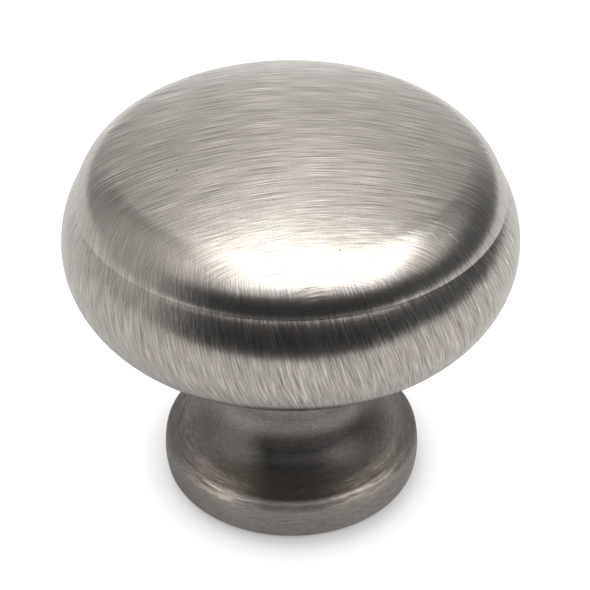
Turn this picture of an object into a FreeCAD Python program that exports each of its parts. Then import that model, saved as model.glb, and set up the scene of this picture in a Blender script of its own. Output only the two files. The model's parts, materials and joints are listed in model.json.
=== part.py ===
import FreeCAD, Part

import math
import os

# A round cabinet knob, cast in one piece and turned all over.
# A low domed head stands on a waisted neck, which spreads into a flat foot.
# Lengths are in millimetres. The axis is +Z, and the foot's flat underside lies on Z = 0.

# Overall sizes
overall_height = 29.2
head_diameter = 32.0
foot_diameter = 18.9
neck_diameter = 9.0

# Head: a rounded rim with a dome that rises from a crease inside it
rim_lower_radius = 5.85
rim_upper_radius = 7.0
crease_inset = 1.1
crease_fillet = 0.2
dome_rise = 5.1
dome_wall_draft = 13.0
shoulder_radius = 4.35

# Foot: a disc with a slightly bulged side
foot_rim_height = 3.36
foot_bulge_radius = 6.0
foot_lower_edge_radius = 0.7
foot_upper_edge_radius = 0.6

# Hollow curves that lead into the neck, from the foot and from under the head
foot_cove_radius = 3.8
head_cove_radius = 3.6

# Screw hole in the foot, drilled at the size that is tapped for an M4 screw
hole_diameter = 3.3
hole_depth = 16.0
drill_point_angle = 118.0
countersink_diameter = 4.6
countersink_angle = 90.0


def at(radius, height):
    """A point of the half section, by its distance from the axis and its height."""
    return FreeCAD.Vector(radius, 0, height)


def on_circle(centre, radius, degrees):
    """The point of a circle in the half section, with 0 degrees pointing away from the axis."""
    turn = math.radians(degrees)
    return centre + at(radius * math.cos(turn), radius * math.sin(turn))


def towards(centre, target, radius):
    """The point of a circle that faces a target, where two touching circles meet."""
    direction = target - centre
    return centre + direction * (radius / direction.Length)


def leg(hypotenuse, other_leg):
    """The third side of a right triangle."""
    return math.sqrt(hypotenuse ** 2 - other_leg ** 2)


def arc(start, centre, end):
    """The shorter arc about a centre from start to end."""
    middle = towards(centre, start + end - centre, (start - centre).Length)
    return Part.Arc(start, middle, end).toShape()


def line(start, end):
    return Part.LineSegment(start, end).toShape()


head_radius = head_diameter / 2
foot_radius = foot_diameter / 2
neck_radius = neck_diameter / 2
hole_radius = hole_diameter / 2
countersink_radius = countersink_diameter / 2


# Head, measured down from the crown
crease_rise = leg(rim_upper_radius, rim_upper_radius - crease_inset)
crease = at(head_radius - crease_inset, overall_height - dome_rise)
rim_height = crease.z - crease_rise
rim_lower_centre = at(head_radius - rim_lower_radius, rim_height)
rim_upper_centre = at(head_radius - rim_upper_radius, rim_height)
rim_widest = at(head_radius, rim_height)
shoulder_centre = on_circle(crease, shoulder_radius, 180 + dome_wall_draft)

# The crown's arc is centred on the axis, passes through the top and meets the shoulder smoothly
crown = at(0, overall_height)
shoulder_drop = overall_height - shoulder_centre.z
crown_radius = (shoulder_centre.x ** 2 + shoulder_drop ** 2 - shoulder_radius ** 2) / (
    2 * (shoulder_drop - shoulder_radius)
)
crown_centre = at(0, overall_height - crown_radius)
crown_end = towards(crown_centre, shoulder_centre, crown_radius)


def crease_fillet_centre():
    """The centre that lies outside the rim's and the shoulder's circles, a fillet's radius from both."""
    to_rim = rim_upper_radius + crease_fillet
    to_shoulder = shoulder_radius + crease_fillet
    between = shoulder_centre - rim_upper_centre
    span = between.Length
    along = (span ** 2 + to_rim ** 2 - to_shoulder ** 2) / (2 * span)
    outwards = at(between.z, -between.x) * (leg(to_rim, along) / span)
    return rim_upper_centre + between * (along / span) + outwards


fillet_centre = crease_fillet_centre()
rim_end = towards(rim_upper_centre, fillet_centre, rim_upper_radius)
shoulder_start = towards(shoulder_centre, fillet_centre, shoulder_radius)

# Foot, measured up from the flat underside
foot_middle = foot_rim_height / 2
bulge_centre = at(foot_radius - foot_bulge_radius, foot_middle)


def edge_centre(height, radius):
    """The centre of an edge's rounding that touches the bulged side from inside."""
    reach = leg(foot_bulge_radius - radius, height - foot_middle)
    return at(bulge_centre.x + reach, height)


lower_edge_centre = edge_centre(foot_lower_edge_radius, foot_lower_edge_radius)
upper_edge_centre = edge_centre(foot_rim_height - foot_upper_edge_radius, foot_upper_edge_radius)
side_start = towards(lower_edge_centre, bulge_centre, -foot_lower_edge_radius)
side_end = towards(upper_edge_centre, bulge_centre, -foot_upper_edge_radius)


def foot_cove_centre(radius):
    """The centre of the hollow that leaves the neck upright and touches the foot's upper edge."""
    out = neck_radius + radius
    rise = leg(foot_upper_edge_radius + radius, out - upper_edge_centre.x)
    return at(out, upper_edge_centre.z + rise)


def head_cove_centre(radius):
    """The centre of the hollow that leaves the neck upright and touches the underside of the rim."""
    out = neck_radius + radius
    drop = leg(rim_lower_radius + radius, out - rim_lower_centre.x)
    return at(out, rim_lower_centre.z - drop)


# On a neck too short for both hollows, they become smaller together until they meet
cove_scale = 1.0
cove_step = 0.98
while (
    foot_cove_centre(foot_cove_radius * cove_scale).z
    > head_cove_centre(head_cove_radius * cove_scale).z
):
    cove_scale = cove_scale * cove_step
foot_cove = foot_cove_centre(foot_cove_radius * cove_scale)
head_cove = head_cove_centre(head_cove_radius * cove_scale)
foot_cove_start = towards(upper_edge_centre, foot_cove, foot_upper_edge_radius)
head_cove_end = towards(rim_lower_centre, head_cove, rim_lower_radius)
neck_bottom = at(neck_radius, foot_cove.z)
neck_top = at(neck_radius, head_cove.z)

# Screw hole, up the axis from the underside
countersink_depth = (countersink_radius - hole_radius) / math.tan(math.radians(countersink_angle / 2))
point_height = hole_radius / math.tan(math.radians(drill_point_angle / 2))
hole_tip = at(0, hole_depth + point_height)
hole_end = at(hole_radius, hole_depth)
hole_start = at(hole_radius, countersink_depth)
hole_mouth = at(countersink_radius, 0)
underside_end = at(lower_edge_centre.x, 0)


def knob_section():
    """Half of the knob's section, as one closed outline that starts at the tip of the screw hole."""
    return [
        line(hole_tip, hole_end),
        line(hole_end, hole_start),
        line(hole_start, hole_mouth),
        line(hole_mouth, underside_end),
        arc(underside_end, lower_edge_centre, side_start),
        arc(side_start, bulge_centre, side_end),
        arc(side_end, upper_edge_centre, foot_cove_start),
        arc(foot_cove_start, foot_cove, neck_bottom),
        line(neck_bottom, neck_top),
        arc(neck_top, head_cove, head_cove_end),
        arc(head_cove_end, rim_lower_centre, rim_widest),
        arc(rim_widest, rim_upper_centre, rim_end),
        arc(rim_end, fillet_centre, shoulder_start),
        arc(shoulder_start, shoulder_centre, crown_end),
        arc(crown_end, crown_centre, crown),
        line(crown, hole_tip),
    ]


def make_knob():
    """The section turned once round the axis."""
    outline = Part.Wire(knob_section())
    axis_foot = FreeCAD.Vector(0, 0, 0)
    axis_direction = FreeCAD.Vector(0, 0, 1)
    return Part.Face(outline).revolve(axis_foot, axis_direction, 360)


knob = make_knob()

os.makedirs("parts", exist_ok=True)
knob.exportStep("parts/knob.step")
print("knob: valid", knob.isValid(), "volume", round(knob.Volume, 1), "mm3")
print("crown radius", round(crown_radius, 2), "rim height", round(rim_height, 2))
print("neck from", round(neck_bottom.z, 2), "to", round(neck_top.z, 2))
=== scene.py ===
import json
import math

import bpy
import numpy as np
from mathutils import Matrix, Vector


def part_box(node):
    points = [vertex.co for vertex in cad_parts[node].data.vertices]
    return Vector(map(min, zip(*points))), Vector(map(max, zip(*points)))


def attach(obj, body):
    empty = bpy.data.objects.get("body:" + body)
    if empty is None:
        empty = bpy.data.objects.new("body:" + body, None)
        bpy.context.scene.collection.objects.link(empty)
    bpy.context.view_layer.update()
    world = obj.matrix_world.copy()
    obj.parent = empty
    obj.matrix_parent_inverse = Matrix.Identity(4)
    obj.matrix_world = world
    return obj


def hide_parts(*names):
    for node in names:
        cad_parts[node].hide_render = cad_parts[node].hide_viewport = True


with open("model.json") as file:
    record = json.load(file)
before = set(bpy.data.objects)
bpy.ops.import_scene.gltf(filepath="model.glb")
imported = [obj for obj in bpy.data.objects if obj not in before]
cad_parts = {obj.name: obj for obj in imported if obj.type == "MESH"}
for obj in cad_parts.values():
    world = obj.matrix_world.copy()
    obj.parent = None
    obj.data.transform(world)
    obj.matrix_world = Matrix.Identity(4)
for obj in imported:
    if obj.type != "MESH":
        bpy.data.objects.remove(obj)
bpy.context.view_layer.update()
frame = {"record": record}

bl_info = {
    "name": "Turned cabinet knob",
    "version": (1, 0, 0),
    "blender": (4, 5, 0),
    "location": "3D View > Sidebar > Knob",
    "description": "A brushed metal cabinet knob, and the small studio that it stands in",
    "category": "Add Mesh",
}

MM = 0.001
CASTING_LOW, CASTING_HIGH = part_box("knob")
SCREW_HOLE = next(m for m in frame["record"]["mounts"] if m["name"] == "screw_hole")["dims"]


def length(name, description, default):
    """A length property, in metres, for the sidebar."""
    return bpy.props.FloatProperty(
        name=name, description=description, default=default, min=0, precision=5,
        unit="LENGTH", subtype="DISTANCE",
    )


def angle(name, description, degrees):
    """An angle property, which is given in degrees and kept in radians."""
    return bpy.props.FloatProperty(
        name=name, description=description, default=math.radians(degrees),
        unit="ROTATION", subtype="ANGLE",
    )


def share(name, description, default):
    return bpy.props.FloatProperty(
        name=name, description=description, default=default, min=0, max=1, subtype="FACTOR"
    )


def colour(name, description, default):
    return bpy.props.FloatVectorProperty(
        name=name, description=description, default=default, min=0, max=1, size=3, subtype="COLOR"
    )


def number(name, description, default):
    return bpy.props.FloatProperty(name=name, description=description, default=default)


class CastingSizes(bpy.types.PropertyGroup):
    """The sizes of the turned section, the same as in the frame."""

    head_diameter: length("Head", "Width of the head", CASTING_HIGH.x - CASTING_LOW.x)
    overall_height: length(
        "Height", "From the foot's underside to the crown", CASTING_HIGH.z - CASTING_LOW.z
    )
    foot_diameter: length("Foot", "Width of the foot", 18.9 * MM)
    neck_diameter: length("Neck", "Width of the neck where it is slimmest", 9 * MM)
    rim_lower_radius: length("Rim below", "Radius of the rim's underside", 5.85 * MM)
    rim_upper_radius: length("Rim above", "Radius of the rim from its widest line up to the crease", 7.0 * MM)
    crease_inset: length("Crease inset", "How far the crease lies inside the rim's widest line", 1.1 * MM)
    crease_fillet: length("Crease fillet", "Radius at the bottom of the crease", 0.2 * MM)
    dome_rise: length("Dome rise", "Height of the crown over the crease", 5.1 * MM)
    dome_wall_draft: angle("Wall draft", "How far the dome's wall leans in where it leaves the crease", 13)
    shoulder_radius: length("Shoulder", "Radius of the dome's shoulder", 4.35 * MM)
    foot_rim_height: length("Foot rim", "Height of the foot's edge", 3.36 * MM)
    foot_bulge_radius: length("Foot bulge", "Radius of the foot's side, seen in section", 6 * MM)
    foot_lower_edge_radius: length("Foot lower edge", "Rounding at the underside", 0.7 * MM)
    foot_upper_edge_radius: length("Foot upper edge", "Rounding where the foot meets the hollow", 0.6 * MM)
    foot_cove_radius: length("Foot hollow", "Radius of the hollow from the foot into the neck", 3.8 * MM)
    head_cove_radius: length("Head hollow", "Radius of the hollow from the neck into the head", 3.6 * MM)
    hole_diameter: length("Screw hole", "Width of the hole before it is tapped", 2 * SCREW_HOLE["r_mm"] * MM)
    hole_depth: length("Hole depth", "Depth of the hole's full width", 16 * MM)
    drill_point_angle: angle("Drill point", "Angle of the cone at the end of the hole", 118)
    countersink_diameter: length("Countersink", "Width of the hole's mouth", 4.6 * MM)
    countersink_angle: angle("Countersink angle", "Angle of the cone at the hole's mouth", 90)


class ThreadSizes(bpy.types.PropertyGroup):
    """The tapped thread inside the screw hole."""

    pitch: length("Pitch", "Height of one turn", 0.7 * MM)
    depth: length("Depth", "How deep the thread is cut into the hole's wall", 0.34 * MM)
    tapped_depth: length("Tapped depth", "Height above the underside where the thread has run out", 14 * MM)


class FinishSettings(bpy.types.PropertyGroup):
    """The brushed, darkened plating."""

    metal: colour("Metal", "Colour of the plating", (0.46, 0.425, 0.385))
    roughness: share("Roughness", "Blur along the brush strokes", 0.23)
    brush_tilt: number("Brush tilt", "How far the finest strokes tip the surface, across the stroke", 0.4)
    stroke_tilt: number("Stroke tilt", "How far the visible strokes tip the surface", 0.2)
    stroke_contrast: number("Stroke contrast", "How much lighter and darker the visible strokes are", 1.3)
    stroke_slant: angle("Stroke slant", "How far the strokes on the rim lean from the section's plane", 14)


class StudioSettings(bpy.types.PropertyGroup):
    """The camera, the lamp, and what stands round the table."""

    camera_distance: length("Camera distance", "From the camera to the point that it turns about", 0.15)
    camera_elevation: angle("Camera elevation", "How far the camera looks down", 36.661)
    camera_lens: number("Lens", "Focal length for a 36 mm sensor", 128.084)
    lamp_height: length("Lamp height", "Height of the soft lamp's middle over the table", 0.401)
    lamp_width: length("Lamp width", "Width of the soft lamp", 0.63)
    lamp_depth: length("Lamp depth", "Depth of the soft lamp, from front to back", 0.69)
    lamp_tilt: angle("Lamp tilt", "How far the soft lamp leans down at its front", 28.6)
    lamp_radiance: number("Lamp radiance", "How bright the soft lamp is in its middle, where white is 1", 2.8)
    lamp_middle: share("Lamp middle", "Share of the lamp's width and depth that is at full radiance", 0.74)
    lamp_border: share("Lamp border", "Radiance outside the lamp's middle, as a share of the full one", 0.36)
    floor_colour: colour("Table", "Colour of the table top", (0.64, 0.64, 0.64))


def towards(centre, target, radius):
    """The point of a circle that faces a target. Points of the half section are r + i z."""
    return centre + radius * (target - centre) / abs(target - centre)


def leg(hypotenuse, other_leg):
    """The third side of a right triangle."""
    return math.sqrt(hypotenuse**2 - other_leg**2)


def arc(start, centre, end, steps):
    """Points on the shorter arc about a centre from start up to end, which is left to the next stretch:
    the start's spoke, turned by equal shares of the angle between the two spokes."""
    turn = np.angle((end - centre) / (start - centre))
    return centre + (start - centre) * np.exp(1j * turn * np.arange(steps) / steps)


def straight(start, end, steps):
    """Evenly spaced points from start up to end, which is left to the next stretch."""
    return start + (end - start) * np.arange(steps) / steps


def head_section(size):
    """The head's arcs from the underside of the rim to the crown, each as (start, centre, end). Each touches
    the next. The rim's upper arc and the dome's wall would cross in the crease, and a fillet fills it there.
    Circles that touch have their centres the sum or the difference of their radii apart."""
    head_radius = size.head_diameter / 2
    crease = complex(head_radius - size.crease_inset, size.overall_height - size.dome_rise)
    rim_height = crease.imag - leg(size.rim_upper_radius, size.rim_upper_radius - size.crease_inset)
    lower = complex(head_radius - size.rim_lower_radius, rim_height)
    upper = complex(head_radius - size.rim_upper_radius, rim_height)
    shoulder = crease - size.shoulder_radius * np.exp(1j * size.dome_wall_draft)
    drop = size.overall_height - shoulder.imag
    crown_radius = (shoulder.real**2 + drop**2 - size.shoulder_radius**2) / (
        2 * (drop - size.shoulder_radius)
    )
    crown = complex(0, size.overall_height - crown_radius)
    to_rim = size.rim_upper_radius + size.crease_fillet
    to_shoulder = size.shoulder_radius + size.crease_fillet
    between = shoulder - upper
    along = (abs(between) ** 2 + to_rim**2 - to_shoulder**2) / (2 * abs(between))
    fillet = upper + between / abs(between) * complex(along, -leg(to_rim, along))
    widest = complex(head_radius, rim_height)
    rim_end = towards(upper, fillet, size.rim_upper_radius)
    shoulder_start = towards(shoulder, fillet, size.shoulder_radius)
    shoulder_end = towards(crown, shoulder, crown_radius)
    return {
        "rim_lower_centre": lower,
        "widest": widest,
        "rim_upper": (widest, upper, rim_end),
        "crease": (rim_end, fillet, shoulder_start),
        "shoulder": (shoulder_start, shoulder, shoulder_end),
        "crown": (shoulder_end, crown, complex(0, size.overall_height)),
    }


def knob_section(size):
    """Half of the knob's section as stretches of points, from the tip of the screw hole round to the crown.
    Each stretch is an arc or a straight line, and gives its points without its end. Next to each stretch
    stands whether its first point is a sharp corner."""
    head = head_section(size)
    middle = size.foot_rim_height / 2
    bulge = complex(size.foot_diameter / 2 - size.foot_bulge_radius, middle)

    def edge(height, radius):
        return complex(bulge.real + leg(size.foot_bulge_radius - radius, height - middle), height)

    lower_edge = edge(size.foot_lower_edge_radius, size.foot_lower_edge_radius)
    upper_edge = edge(size.foot_rim_height - size.foot_upper_edge_radius, size.foot_upper_edge_radius)
    side_start = towards(lower_edge, bulge, -size.foot_lower_edge_radius)
    side_end = towards(upper_edge, bulge, -size.foot_upper_edge_radius)
    neck = size.neck_diameter / 2
    foot_out = neck + size.foot_cove_radius
    foot_rise = leg(size.foot_upper_edge_radius + size.foot_cove_radius, foot_out - upper_edge.real)
    foot_cove = complex(foot_out, upper_edge.imag + foot_rise)
    rim_centre = head["rim_lower_centre"]
    head_out = neck + size.head_cove_radius
    head_drop = leg(size.rim_lower_radius + size.head_cove_radius, head_out - rim_centre.real)
    head_cove = complex(head_out, rim_centre.imag - head_drop)
    cove_start = towards(upper_edge, foot_cove, size.foot_upper_edge_radius)
    cove_end = towards(rim_centre, head_cove, size.rim_lower_radius)
    neck_bottom = complex(neck, foot_cove.imag)
    neck_top = complex(neck, head_cove.imag)
    underside_end = complex(lower_edge.real, 0)
    hole = size.hole_diameter / 2
    mouth = size.countersink_diameter / 2
    tip = complex(0, size.hole_depth + hole / math.tan(size.drill_point_angle / 2))
    hole_end = complex(hole, size.hole_depth)
    hole_start = complex(hole, (mouth - hole) / math.tan(size.countersink_angle / 2))
    thread_rows = 150
    return [
        (straight(tip, hole_end, 4), False),
        (straight(hole_end, hole_start, thread_rows), True),
        (straight(hole_start, complex(mouth, 0), 3), True),
        (straight(complex(mouth, 0), underside_end, 6), True),
        (arc(underside_end, lower_edge, side_start, 10), False),
        (arc(side_start, bulge, side_end, 8), False),
        (arc(side_end, upper_edge, cove_start, 10), False),
        (arc(cove_start, foot_cove, neck_bottom, 32), False),
        (straight(neck_bottom, neck_top, 3), False),
        (arc(neck_top, head_cove, cove_end, 14), False),
        (arc(cove_end, rim_centre, head["widest"], 40), False),
        (arc(*head["rim_upper"], 18), False),
        (arc(*head["crease"], 6), False),
        (arc(*head["shoulder"], 36), False),
        (arc(*head["crown"], 26), False),
    ]


def turned_surface(size, thread, columns):
    """The whole knob as one closed surface of two parameters: the place along the section and the angle
    round the axis. A point is (r cos a, r sin a, z), where r and z are the section's. In the screw hole r
    also grows by the thread: half the depth times one minus the cosine of a full turn for each pitch of
    height, less the angle. Returns the rings' points, the two poles, the section's length from the widest
    ring up to each of its points, and which rings are sharp."""
    stretches = knob_section(size)
    section = np.concatenate([points for points, _ in stretches])
    sharp = np.concatenate([np.arange(len(points)) < int(corner) for points, corner in stretches])
    crown = complex(0, size.overall_height)
    travelled = np.concatenate([[0], np.cumsum(abs(np.diff(np.append(section, crown))))])
    travelled = travelled - travelled[np.argmax(section.real)]
    first_pole, rings = section[0], section[1:]
    turn = 2 * np.pi * np.arange(columns) / columns
    height = rings.imag[:, None] + 0 * turn
    in_hole = np.isclose(rings.real, size.hole_diameter / 2)[:, None]
    mouth_width = size.countersink_diameter - size.hole_diameter
    floor_of_hole = mouth_width / 2 / math.tan(size.countersink_angle / 2)
    run_in = np.clip((height - floor_of_hole) / thread.pitch, 0, 1)
    run_out = np.clip((thread.tapped_depth - height) / thread.pitch, 0, 1)
    groove = (1 - np.cos(2 * np.pi * height / thread.pitch - turn)) / 2
    radius = rings.real[:, None] + in_hole * thread.depth * groove * run_in * run_out
    points = np.stack([radius * np.cos(turn), radius * np.sin(turn), height], axis=-1)
    poles = ((0, 0, first_pole.imag), (0, 0, crown.imag))
    return points, poles, travelled, sharp[1:]


def closed_mesh(name, points, poles):
    """A mesh of the rings' quads with a fan of triangles to each pole. Ring k's point j is vertex
    1 + k * columns + j, and a quad joins (k, j), (k, j + 1), (k + 1, j + 1) and (k + 1, j)."""
    rings, columns, _ = points.shape
    vertices = np.concatenate([[poles[0]], points.reshape(-1, 3), [poles[1]]])
    number_of = 1 + np.arange(rings * columns).reshape(rings, columns)
    beside = np.roll(number_of, -1, axis=1)
    quads = np.stack([number_of[:-1], beside[:-1], beside[1:], number_of[1:]], axis=-1).reshape(-1, 4)
    first = np.stack([0 * beside[0], beside[0], number_of[0]], axis=-1)
    last = np.stack([number_of[-1], beside[-1], 0 * beside[-1] + len(vertices) - 1], axis=-1)
    corners = np.concatenate([first.ravel(), quads.ravel(), last.ravel()])
    sides = np.concatenate([np.full(columns, 3), np.full(len(quads), 4), np.full(columns, 3)])
    mesh = bpy.data.meshes.new(name)
    mesh.vertices.add(len(vertices))
    mesh.vertices.foreach_set("co", vertices.astype(np.float32).ravel())
    mesh.loops.add(len(corners))
    mesh.loops.foreach_set("vertex_index", corners.astype(np.int32))
    mesh.polygons.add(len(sides))
    mesh.polygons.foreach_set("loop_start", (np.cumsum(sides) - sides).astype(np.int32))
    mesh.update(calc_edges=True)
    mesh.validate()
    mesh.shade_smooth()
    return mesh


def mark_sharp_rings(mesh, sharp, columns):
    """Marks an edge as sharp where both of its ends lie on the same sharp ring."""
    ends = np.zeros(2 * len(mesh.edges), np.int32)
    mesh.edges.foreach_get("vertices", ends)
    ends = ends.reshape(-1, 2) - 1
    ring = ends // columns
    on_rings = (ends >= 0).all(axis=1) & (ring < len(sharp)).all(axis=1)
    same = on_rings & (ring[:, 0] == ring[:, 1])
    marked = same & sharp[np.clip(ring[:, 0], 0, len(sharp) - 1)]
    mesh.attributes.new("sharp_edge", "BOOLEAN", "EDGE").data.foreach_set("value", marked)


class Wire:
    """A number that varies over a surface. It takes part in sums, and each sum adds a Math node."""

    def __init__(self, shading, socket):
        self.shading = shading
        self.socket = socket

    def math(self, operation, *others, clamp=False):
        return self.shading.math(operation, self, *others, clamp=clamp)

    def __add__(self, other):
        return self.math("ADD", other)

    __radd__ = __add__

    def __mul__(self, other):
        return self.math("MULTIPLY", other)

    __rmul__ = __mul__

    def __sub__(self, other):
        return self.math("SUBTRACT", other)

    def __rsub__(self, other):
        return self.shading.math("SUBTRACT", other, self)

    def __truediv__(self, other):
        return self.math("DIVIDE", other)


class Shading:
    """The node tree of a material or a world, filled by Python expressions."""

    def __init__(self, owner):
        owner.use_nodes = True
        self.tree = owner.node_tree
        self.tree.nodes.clear()

    def node(self, kind, settings=None, **values):
        """A node of a type, with its settings first and then its sockets, named with _ for a space."""
        made = self.tree.nodes.new(kind)
        for name, setting in (settings or {}).items():
            if name == "stops":
                self.set_stops(made.color_ramp, setting)
            else:
                setattr(made, name, setting)
        for name, value in values.items():
            self.feed(made, name.replace("_", " "), value)
        return made

    def set_stops(self, ramp, stops):
        """Fills a ramp with (place, grey or colour) stops."""
        while len(ramp.elements) < len(stops):
            ramp.elements.new(1)
        for element, (place, level) in zip(ramp.elements, stops):
            element.position = place
            element.color = (level, level, level, 1) if isinstance(level, float) else (*level, 1)

    def feed(self, node, name, value):
        """Links or sets the socket of that name which is in use."""
        socket = next(s for s in node.inputs if s.name == name and s.enabled)
        if isinstance(value, Wire):
            value = value.socket
        if isinstance(value, bpy.types.NodeSocket):
            self.tree.links.new(value, socket)
        elif socket.type == "RGBA" and len(value) == 3:
            socket.default_value = (*value, 1)
        else:
            socket.default_value = value

    def wire(self, kind, output, settings=None, **values):
        """One output of a new node, as a number for sums."""
        return Wire(self, self.node(kind, settings, **values).outputs[output])

    def math(self, operation, *terms, clamp=False):
        made = self.tree.nodes.new("ShaderNodeMath")
        made.operation = operation
        made.use_clamp = clamp
        for socket, term in zip(made.inputs, terms):
            if isinstance(term, Wire):
                self.tree.links.new(term.socket, socket)
            else:
                socket.default_value = term
        return Wire(self, made.outputs[0])

    def vector(self, operation, *terms, scale=None):
        """A Vector Math node's result: a vector socket, or a number for a dot product, length or distance."""
        made = self.tree.nodes.new("ShaderNodeVectorMath")
        made.operation = operation
        for socket, term in zip(made.inputs, terms):
            if isinstance(term, bpy.types.NodeSocket):
                self.tree.links.new(term, socket)
            else:
                socket.default_value = term
        if scale is not None:
            self.feed(made, "Scale", scale)
        if operation in ("DOT_PRODUCT", "LENGTH", "DISTANCE"):
            return Wire(self, made.outputs["Value"])
        return made.outputs["Vector"]

    def parts(self, vector):
        """The three numbers of a vector."""
        made = self.node("ShaderNodeSeparateXYZ", Vector=vector)
        return tuple(Wire(self, made.outputs[k]) for k in range(3))

    def together(self, x, y, z):
        return self.node("ShaderNodeCombineXYZ", X=x, Y=y, Z=z).outputs[0]

    def step(self, value, start, end):
        """0 below start and 1 above end, with a smooth rise between them."""
        return self.wire(
            "ShaderNodeMapRange", "Result", {"interpolation_type": "SMOOTHSTEP"},
            Value=value, From_Min=start, From_Max=end,
        )

    def noise(self, vector, scale, detail=0.0):
        """Soft noise about 0, mostly within a quarter either way."""
        return self.wire("ShaderNodeTexNoise", "Fac", Vector=vector, Scale=scale, Detail=detail) - 0.5


# Round marks on the metal, as (x, y, z, width), and scratches by their two ends, all in millimetres
PITS = (
    (-11.02, 5.39, 27.17, 0.14),
    (-7.53, -3.82, 28.25, 0.16),
    (-7.73, -1.91, 28.36, 0.1),
    (3.14, -11.62, 27.25, 0.13),
    (-9.77, -12.66, 20.78, 0.1),
    (-0.74, -15.93, 19.55, 0.1),
    (-8.69, -3.7, 1.44, 0.2),
)
SPECKS = (
    (5.62, -12.46, 26.27, 0.08),
    (4.83, -14.13, 16.96, 0.1),
    (9.62, -11.69, 23.7, 0.1),
    (6.2, -13.6, 16.9, 0.1),
)
SCRATCHES = (
    ((10.28, -8.72, 26.43), (10.87, -8.86, 25.88)),
    ((13.73, -6.42, 23.67), (14.59, -6.03, 22.06)),
    ((12.72, -9.0, 22.74), (13.36, -8.74, 21.06)),
)

# Where one lay of strokes gives way to the next, in millimetres: heights, and distances from the axis
HEAD_FADE = (12.0, 14.0)
CROWN_FADE = (12.3, 14.6)

# Where the section's crease lies, as its distance from the axis and its height in millimetres
CREASE = (14.9, 24.1)

# How bright the foot's plating is, by the height in millimetres: darker plating all over the foot, and painted
# shade that is deepest in the hollow
HOLLOW_TOP = 10.0
HOLLOW_PLATING_AND_SHADE = (
    (0.0, 0.7), (2.5, 0.7), (2.9, 0.45), (3.3, 0.36), (3.6, 0.22), (4.0, 0.09), (4.8, 0.08),
    (5.3, 0.3), (5.7, 0.52), (6.2, 0.6), (7.5, 0.75), (10.0, 0.95),
)

# The room's walls, as (azimuth, radiance), and the cards before them, as (azimuth, height, the angle up to
# which the card is full, the angle at which it has faded, radiance). Azimuth 0 is the front and 90 the right.
WALLS = (
    (-180, 0.95), (-150, 0.58), (-133, 0.34), (-100, 0.6), (-70, 0.58), (-50, 0.14), (-35, 0.035),
    (35, 0.03), (65, 0.08), (115, 0.15), (132, 0.22), (150, 0.58), (180, 0.95),
)
CARDS = (
    (77, 39, 6, 26, 0.79),
    (110, 39, 4, 19, 0.28),
    (-53, 41, 4, 22, 0.6),
    (-155, 57, 6, 20, 0.3),
    (-78, 57, 6, 20, 0.2),
    (165, 51, 6, 20, 0.3),
)

# Where the middle of the soft lamp is over the table, in metres to the right and back
LAMP_X, LAMP_Y = 0.1, -0.066


def marks(shade, place, spots):
    """1 on round spots, which are given by their middle and their width."""
    total = 0
    for *middle, width in spots:
        away = shade.vector("DISTANCE", place, tuple(middle))
        total = shade.step(away, width * 0.6, width * 0.3) + total
    return total


def scratches(shade, place):
    """1 on short straight scratches: near the nearest point of the line between a scratch's two ends. Its
    share of the way is the place's reach along the line, over the line's length, between 0 and 1."""
    outer, inner = 0.07, 0.03
    total = 0
    for start, end in SCRATCHES:
        run = Vector(end) - Vector(start)
        from_start = shade.vector("SUBTRACT", place, start)
        reach = shade.vector("DOT_PRODUCT", from_start, tuple(run))
        share_along = shade.math("MULTIPLY", reach, 1 / run.length_squared, clamp=True)
        nearest = shade.vector("SCALE", tuple(run), scale=share_along)
        away = shade.vector("DISTANCE", from_start, nearest)
        total = shade.step(away, outer, inner) + total
    return total


def foot_plating_and_painted_light(shade, x, z, foot, foot_lay):
    """How bright the foot's plating is, where its upper edge is, and how much that edge is lightened. The
    plating is darker on the foot.
    Painted shade makes the hollow darkest before and behind the neck, and painted reflections make it less
    dark beside the neck and to its left.
    The edge is rubbed lighter beside the neck: a worn edge with a painted highlight."""
    stops = [(height / HOLLOW_TOP, level) for height, level in HOLLOW_PLATING_AND_SHADE]
    ramp = shade.node("ShaderNodeValToRGB", {"stops": stops}, Fac=z / HOLLOW_TOP)
    dark = shade.parts(ramp.outputs["Color"])[0]
    aside = shade.math("ABSOLUTE", x)
    beside = shade.step(aside, 1.5, 5.0) * (1 - shade.step(aside, 6.0, 8.8) * 0.75)
    left = shade.step(x, -1.5, -3.5) * (1 - shade.step(x, -5.5, -7.5))
    # Painted shade in the hollow, lightened by painted reflections beside the neck and to its left
    plating_and_shade = 1 - foot + foot * (dark + (1 - dark) * (beside * 0.27 + left * 0.2))
    edge = shade.step(z, 2.45, 2.9) * (1 - shade.step(z, 3.3, 3.45)) * foot
    # The edge beside the neck is rubbed lighter: wear, with a painted highlight
    rubbed_and_highlight = edge * beside * (0.9 + 4 * shade.noise(foot_lay, 5.0, 2.0))
    return plating_and_shade * (1 + rubbed_and_highlight), edge, rubbed_and_highlight


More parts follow.
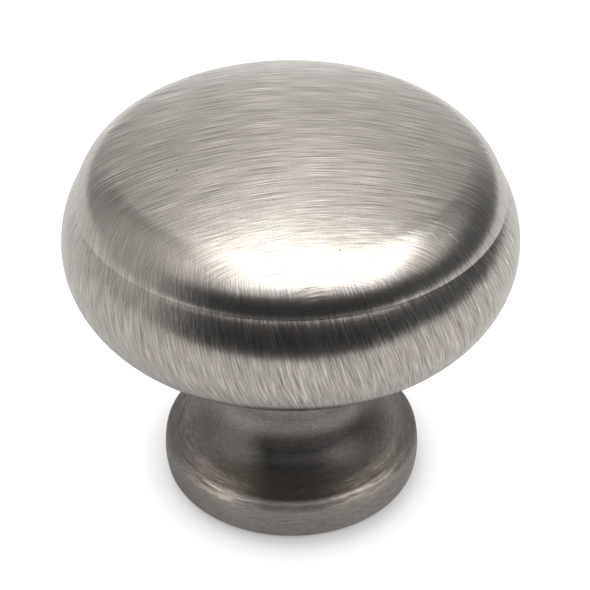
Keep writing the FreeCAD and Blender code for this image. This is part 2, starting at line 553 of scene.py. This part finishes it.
def brushed_plating(finish):
    """Satin metal whose finest strokes are worked out as small tips of the surface, so that it blurs what it
    mirrors mostly across them. The crown is stroked nearly along X, the rim and the shoulder up and down the
    section on a slant, and the neck and the foot round the axis. The strokes that can be seen and the marks
    are lighter and darker tones of the plating. The foot is darker plating with painted shade, which is
    deepest in the hollow.
    A light line in the front of the crease is a painted highlight."""
    material = bpy.data.materials.new("brushed_plating")
    shade = Shading(material)
    place = shade.vector("SCALE", shade.node("ShaderNodeTexCoord").outputs["Object"], scale=1 / MM)
    normal = shade.node("ShaderNodeNewGeometry").outputs["Normal"]
    wrap = shade.node("ShaderNodeAttribute", {"attribute_name": "wrap"}).outputs["Vector"]
    x, y, z = shade.parts(place)
    along = shade.parts(wrap)[2]
    radius = shade.vector("LENGTH", shade.together(x, y, 0.0))
    round_axis = shade.vector("NORMALIZE", shade.together(y * -1, x, 0.0))
    up_section = shade.vector("CROSS_PRODUCT", normal, round_axis)

    head = shade.step(z, *HEAD_FADE)
    crown = head * (1 - shade.step(radius + 4 * shade.noise(place, 0.4), *CROWN_FADE))
    foot = 1 - head
    rim = head - crown
    crown_strength = 1.6 - 0.7 * shade.step(y * -1, 5.5, 10.0)
    rim_strength = 1.15 - 0.45 * shade.step(z, 23.8, 24.8)

    across_arcs = y - (0.07 - y * 0.008) * x + x * x * 0.0065
    lean = math.tan(finish.stroke_slant) / 16 * (1 + 0.4 * shade.step(x, 0.0, 10.0))
    slanted = shade.node(
        "ShaderNodeVectorRotate", {"rotation_type": "Z_AXIS"}, Vector=wrap, Angle=along * lean,
    ).outputs[0]
    crown_lay = shade.together(x * 0.018, across_arcs, 0.37)
    rim_lay = shade.vector("MULTIPLY", slanted, (1.0, 1.0, 0.045))
    foot_lay = shade.vector("MULTIPLY", wrap, (0.06, 0.06, 1.0))
    across_crown = shade.vector("NORMALIZE", shade.vector("CROSS_PRODUCT", normal, (1.0, 0.0, 0.0)))
    tipped = normal
    shown = 0
    for zone, lay, across, pitch, strength in (
        (crown, crown_lay, across_crown, 8.0, crown_strength),
        (rim, rim_lay, round_axis, 6.8, rim_strength),
        (foot, foot_lay, up_section, 8.0, 0.6),
    ):
        blur = shade.noise(lay, 40.0, 1.0)
        wide = shade.noise(lay, pitch, 1.0)
        thin = shade.noise(lay, 2 * pitch, 2.0)
        hairs = 1.5 * shade.step(thin, 0.11, 0.2) - 0.6 * shade.step(thin, -0.13, -0.24)
        strokes = wide * 0.3 + thin * 1.1 + hairs * 0.12
        tip = (blur * finish.brush_tilt + thin * (0.35 * finish.stroke_tilt)) * zone
        tipped = shade.vector("ADD", tipped, shade.vector("SCALE", across, scale=tip))
        shown = strokes * zone * strength + shown
    feather = shade.noise(shade.vector("ADD", rim_lay, (50.0, 0.0, 0.0)), 24.0, 2.0) * rim * 0.08
    tipped = shade.vector("ADD", tipped, shade.vector("SCALE", up_section, scale=feather))
    tipped = shade.vector("NORMALIZE", tipped)
    grain = shade.noise(place, 9.0, 2.0)
    level = ((shown + grain * 0.3) * finish.stroke_contrast + 1) * (1 - marks(shade, place, PITS) * 0.75)
    level = level + (marks(shade, place, SPECKS) + scratches(shade, place)) * 0.7
    plating_and_shade, edge, rubbed_and_highlight = foot_plating_and_painted_light(shade, x, z, foot, foot_lay)
    red, green, blue = finish.metal
    # The darkest parts, deepened by painted shade, are tinted a little cool
    cool = shade.step(plating_and_shade, 0.4, 0.1)
    hue = shade.noise(shade.vector("MULTIPLY", wrap, (1.0, 1.0, 0.4)), 2.0, 3.0) * 0.1
    tint = shade.together(
        red * (1 - cool * 0.04 + hue),
        green * (1 - foot * 0.02),
        blue * (1 + cool * 0.03 - rubbed_and_highlight * 0.05 - hue),
    )
    # A painted highlight: a light line along the crease, only in front of the knob
    from_crease = shade.vector("LENGTH", shade.together(radius - CREASE[0], z - CREASE[1], 0.0))
    in_front = 1 - shade.step(shade.math("ABSOLUTE", x), 5.0, 10.0)
    crease_painted_highlight = 1 + 0.7 * shade.step(from_crease, 0.4, 0.08) * in_front
    tone = shade.vector("SCALE", tint, scale=level * plating_and_shade * crease_painted_highlight)
    surface = shade.node(
        "ShaderNodeBsdfPrincipled", Base_Color=tone, Metallic=1.0, Normal=tipped,
        Roughness=finish.roughness + foot * 0.15 + edge * 0.2,
    )
    shade.node("ShaderNodeOutputMaterial", Surface=surface.outputs[0])
    return material


def link_object(name, mesh, material):
    made = bpy.data.objects.new(name, mesh)
    bpy.context.scene.collection.objects.link(made)
    mesh.materials.append(material)
    return made


class KNOB_OT_casting(bpy.types.Operator):
    """Builds the knob's one casting as a fine turned surface, with its brushed plating"""

    bl_idname = "knob.casting"
    bl_label = "Casting"

    def execute(self, context):
        scene = context.scene
        columns = 240
        points, poles, travelled, sharp = turned_surface(scene.casting_sizes, scene.thread_sizes, columns)
        mesh = closed_mesh("casting", points, poles)
        mark_sharp_rings(mesh, sharp, columns)
        wrap_radius = scene.casting_sizes.head_diameter / 2 / MM
        turn = 2 * np.pi * np.arange(columns) / columns
        wrap = np.zeros((len(mesh.vertices), 3), np.float32)
        rings = wrap[1:-1].reshape(len(points), columns, 3)
        rings[..., 0] = wrap_radius * np.cos(turn)
        rings[..., 1] = wrap_radius * np.sin(turn)
        rings[..., 2] = travelled[1:-1, None] / MM
        wrap[-1, 2] = travelled[-1] / MM
        mesh.attributes.new("wrap", "FLOAT_VECTOR", "POINT").data.foreach_set("vector", wrap.ravel())
        casting = link_object("casting", mesh, brushed_plating(scene.finish_settings))
        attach(casting, "root")
        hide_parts("knob")
        return {"FINISHED"}


def studio_world():
    """What stands round the table, far off: pale walls behind and at the left, a dark room at the front, and
    soft cards before them. The dark parts are a little cool. Only the camera sees it all white."""
    world = bpy.data.worlds.new("studio")
    shade = Shading(world)
    way = shade.node("ShaderNodeTexCoord").outputs["Generated"]
    x, y, z = shade.parts(way)
    azimuth = shade.math("ARCTAN2", x, y * -1) / (2 * math.pi) + 0.5

    def card(azimuth_degrees, height_degrees, inner, outer):
        """1 within the inner angle of a direction, fading to 0 at the outer angle."""
        turn, rise = math.radians(azimuth_degrees), math.radians(height_degrees)
        middle = (math.sin(turn) * math.cos(rise), -math.cos(turn) * math.cos(rise), math.sin(rise))
        faded, full = math.cos(math.radians(outer)), math.cos(math.radians(inner))
        return shade.step(shade.vector("DOT_PRODUCT", way, middle), faded, full)

    stops = [(degrees / 360 + 0.5, radiance) for degrees, radiance in WALLS]
    walls = shade.node("ShaderNodeValToRGB", {"stops": stops}, Fac=azimuth)
    level = shade.parts(walls.outputs["Color"])[0]
    for *place, radiance in CARDS:
        level = level + card(*place) * radiance
    dim = shade.step(level, 0.4, 0.05)
    cool = shade.together(1 - dim * 0.06, 1.0, 1 + dim * 0.08)
    lit = shade.node("ShaderNodeBackground", Color=cool, Strength=level).outputs[0]
    white = shade.node("ShaderNodeBackground", Color=(1, 1, 1), Strength=1.0).outputs[0]
    seen = shade.node("ShaderNodeLightPath").outputs["Is Camera Ray"]
    mixed = shade.tree.nodes.new("ShaderNodeMixShader")
    shade.tree.links.new(seen, mixed.inputs[0])
    shade.tree.links.new(lit, mixed.inputs[1])
    shade.tree.links.new(white, mixed.inputs[2])
    shade.node("ShaderNodeOutputWorld", Surface=mixed.outputs[0])
    return world


def table_material(settings):
    """A pale matt table top. The camera sees its real shadow together with a glow that is weak at the knob's
    foot and stronger away from it, which paints a soft shadow that ends in plain white. The metal mirrors it
    brighter towards the back.
    From below, the camera sees through it."""
    material = bpy.data.materials.new("pale_table")
    shade = Shading(material)
    place = shade.vector("SCALE", shade.node("ShaderNodeTexCoord").outputs["Object"], scale=1 / MM)
    x, y, _ = shade.parts(place)
    radius = shade.vector("LENGTH", shade.together(x * 1.08 - 0.3, y, 0.0))
    light_path = shade.node("ShaderNodeLightPath")
    seen = Wire(shade, light_path.outputs["Is Camera Ray"])
    mirrored = Wire(shade, light_path.outputs["Is Glossy Ray"])
    grey = settings.floor_colour[0] * (1 - 0.06 * shade.step(y * -1, 10.0, 50.0))
    seen_grey, back_glow = 0.37, 0.58
    tone = grey - seen * (grey - seen_grey)
    matt = shade.node("ShaderNodeBsdfDiffuse", Color=shade.together(tone, tone, tone)).outputs[0]
    # Painted shadow: the camera's glow is weakest at the foot and grows outwards, a little sooner at the sides
    # and the left
    away = 0.3 + 0.25 * shade.step(radius, 9.0, 11.0) + 0.45 * shade.step(radius, 9.5, 15.5)
    strength = seen * away + mirrored * back_glow * shade.step(y, -10.0, 250.0)
    glow = shade.node("ShaderNodeEmission", Color=(1, 1, 1), Strength=strength).outputs[0]
    added = shade.tree.nodes.new("ShaderNodeAddShader")
    shade.tree.links.new(matt, added.inputs[0])
    shade.tree.links.new(glow, added.inputs[1])
    clear = shade.node("ShaderNodeBsdfTransparent").outputs[0]
    mixed = shade.tree.nodes.new("ShaderNodeMixShader")
    shade.tree.links.new(shade.node("ShaderNodeNewGeometry").outputs["Backfacing"], mixed.inputs[0])
    shade.tree.links.new(added.outputs[0], mixed.inputs[1])
    shade.tree.links.new(clear, mixed.inputs[2])
    shade.node("ShaderNodeOutputMaterial", Surface=mixed.outputs[0])
    return material


def table_mesh(inner_radius):
    """The table top as a flat ring, from a circle just inside the foot's edge to a rectangle whose front edge
    is near the knob. Its rings share the way from the circle to the rectangle evenly in each direction."""
    columns = 96
    turn = 2 * np.pi * np.arange(columns) / columns
    front, back, left, right = -0.087, 0.7, -0.7, 0.14
    across, deep = np.cos(turn), np.sin(turn)
    to_side = np.where(across > 0, right, left) / np.where(abs(across) > 1e-9, across, 1e-9)
    to_end = np.where(deep > 0, back, front) / np.where(abs(deep) > 1e-9, deep, 1e-9)
    outer = np.minimum(abs(to_side), abs(to_end))
    radius = inner_radius + (outer - inner_radius) * np.linspace(0, 1, 5)[:, None]
    just_under_foot = -0.02 * MM
    points = np.stack([radius * across, radius * deep, np.full(radius.shape, just_under_foot)], axis=-1)
    number_of = np.arange(radius.size).reshape(radius.shape)
    beside = np.roll(number_of, -1, axis=1)
    quads = np.stack([number_of[:-1], number_of[1:], beside[1:], beside[:-1]], axis=-1).reshape(-1, 4)
    mesh = bpy.data.meshes.new("table")
    mesh.from_pydata(points.reshape(-1, 3).tolist(), [], quads.tolist())
    return mesh


def place_camera(settings):
    """The camera on its arc about a point on the axis, with the small turns that level the picture."""
    aim = Vector((0, 0, 0.015))
    yaw, pitch, roll = math.radians(0.111), math.radians(0.015), math.radians(-0.219)
    down = settings.camera_elevation
    forward = Vector((0, math.cos(down), -math.sin(down)))
    right = Vector((1, 0, 0))
    up = right.cross(forward)
    eye = aim - settings.camera_distance * forward
    sight = (forward + yaw * right + pitch * up).normalized()
    side = right - yaw * forward
    side = (side - side.dot(sight) * sight).normalized()
    top = side.cross(sight)
    side, top = math.cos(roll) * side + math.sin(roll) * top, math.cos(roll) * top - math.sin(roll) * side
    camera = bpy.data.objects.new("camera", bpy.data.cameras.new("camera"))
    bpy.context.scene.collection.objects.link(camera)
    camera.data.lens = settings.camera_lens
    camera.data.sensor_width = 36
    camera.data.clip_start = 0.001
    turn = Matrix((side, top, -sight)).transposed()
    camera.matrix_world = Matrix.Translation(eye) @ turn.to_4x4()
    bpy.context.scene.camera = camera


def place_lamp(name, settings, part, radiance_share, below):
    """One of the soft lamp's two overlapping sheets: a part of its width and depth, at a share of its
    radiance. A lamp's energy is its radiance times its area and pi."""
    lamp = bpy.data.lights.new(name, "AREA")
    lamp.shape = "RECTANGLE"
    lamp.size = settings.lamp_width * part
    lamp.size_y = settings.lamp_depth * part
    lamp.energy = settings.lamp_radiance * radiance_share * math.pi * lamp.size * lamp.size_y
    lamp_object = bpy.data.objects.new(name, lamp)
    lamp_object.location = (LAMP_X, LAMP_Y, settings.lamp_height - below)
    lamp_object.rotation_euler.x = settings.lamp_tilt
    bpy.context.scene.collection.objects.link(lamp_object)


class KNOB_OT_studio(bpy.types.Operator):
    """Builds the table, the soft lamp, the room and the camera"""

    bl_idname = "knob.studio"
    bl_label = "Studio"

    def execute(self, context):
        scene = context.scene
        settings = scene.studio_settings
        sizes = scene.casting_sizes
        inner_radius = sizes.foot_diameter / 2 - sizes.foot_lower_edge_radius - 0.1 * MM
        table = link_object("table", table_mesh(inner_radius), table_material(settings))
        scene.world = studio_world()
        place_lamp("lamp_border", settings, 1.0, settings.lamp_border, 0.0)
        place_lamp("lamp_middle", settings, settings.lamp_middle, 1 - settings.lamp_border, 0.001)
        place_camera(settings)
        scene.view_settings.view_transform = "Standard"
        return {"FINISHED"}


class KNOB_PT_sidebar(bpy.types.Panel):
    """The knob's sizes and finish, and the buttons that build it"""

    bl_label = "Cabinet knob"
    bl_space_type = "VIEW_3D"
    bl_region_type = "UI"
    bl_category = "Knob"

    def draw(self, context):
        for group in GROUPS:
            column = self.layout.column(align=True)
            settings = getattr(context.scene, GROUPS[group])
            for name in group.__annotations__:
                column.prop(settings, name)
        self.layout.operator(KNOB_OT_casting.bl_idname)
        self.layout.operator(KNOB_OT_studio.bl_idname)


GROUPS = {
    CastingSizes: "casting_sizes",
    ThreadSizes: "thread_sizes",
    FinishSettings: "finish_settings",
    StudioSettings: "studio_settings",
}
CLASSES = (*GROUPS, KNOB_OT_casting, KNOB_OT_studio, KNOB_PT_sidebar)


def register():
    for kind in CLASSES:
        bpy.utils.register_class(kind)
    for group, name in GROUPS.items():
        setattr(bpy.types.Scene, name, bpy.props.PointerProperty(type=group))


def unregister():
    for name in GROUPS.values():
        delattr(bpy.types.Scene, name)
    for kind in reversed(CLASSES):
        bpy.utils.unregister_class(kind)


def main():
    register()
    bpy.ops.knob.casting()
    bpy.ops.knob.studio()


if __name__ == "__main__":
    main()
